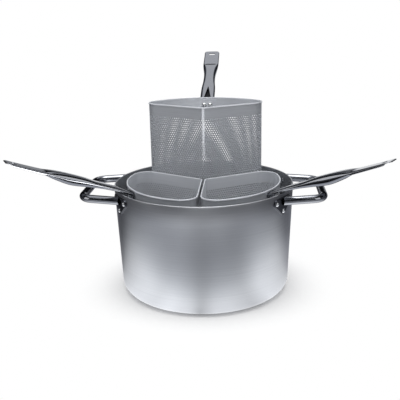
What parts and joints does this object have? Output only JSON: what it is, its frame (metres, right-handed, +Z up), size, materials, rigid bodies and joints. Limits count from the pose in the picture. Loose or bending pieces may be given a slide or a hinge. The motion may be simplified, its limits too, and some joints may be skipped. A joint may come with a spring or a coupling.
{
  "type": "pasta pot with strainer baskets",
  "caption": "Wide aluminium pasta pot with lift-out sector strainer baskets on long hollow steel handles; the rear basket is shown lifted.",
  "frame": {"origin": "where the pot's axis meets the table, on the flat underside of the pot", "axes": "+Z up along the pot's axis, +X through the right side loop, +Y away from the front, towards the lifted rear basket"},
  "size_m": [0.6791, 0.5908, 0.4514],
  "materials": {
    "pot_aluminium": "brushed satin",
    "basket_aluminium": "matt, perforated",
    "polished_steel": "polished",
    "satin_steel": "satin",
    "rivet_steel": "polished"
  },
  "bodies": {
    "pot": {"pot_body": "pot_aluminium", "left_loop": "polished_steel", "right_loop": "polished_steel", "left_front_plate": "satin_steel", "left_rear_plate": "satin_steel", "right_front_plate": "satin_steel", "right_rear_plate": "satin_steel", "loop_rivets": "rivet_steel"},
    "front_left_basket": {"front_left_basket_wall": "basket_aluminium", "front_left_basket_floor": "basket_aluminium", "front_left_basket_handle": "polished_steel", "front_left_basket_rivets": "rivet_steel"},
    "front_right_basket": {"front_right_basket_wall": "basket_aluminium", "front_right_basket_floor": "basket_aluminium", "front_right_basket_handle": "polished_steel", "front_right_basket_rivets": "rivet_steel"},
    "rear_basket": {"rear_basket_wall": "basket_aluminium", "rear_basket_floor": "basket_aluminium", "rear_basket_handle": "polished_steel", "rear_basket_rivets": "rivet_steel"}
  },
  "joints": [
    {"name": "front_left_basket_lift", "type": "slide", "parent": "pot", "child": "front_left_basket", "axis": [0, 0, 1], "range_m": [0, 0.23]},
    {"name": "front_right_basket_lift", "type": "slide", "parent": "pot", "child": "front_right_basket", "axis": [0, 0, 1], "range_m": [0, 0.23]},
    {"name": "rear_basket_lift", "type": "slide", "parent": "pot", "child": "rear_basket", "axis": [0, 0, 1], "range_m": [-0.1435, 0.0865]}
  ]
}
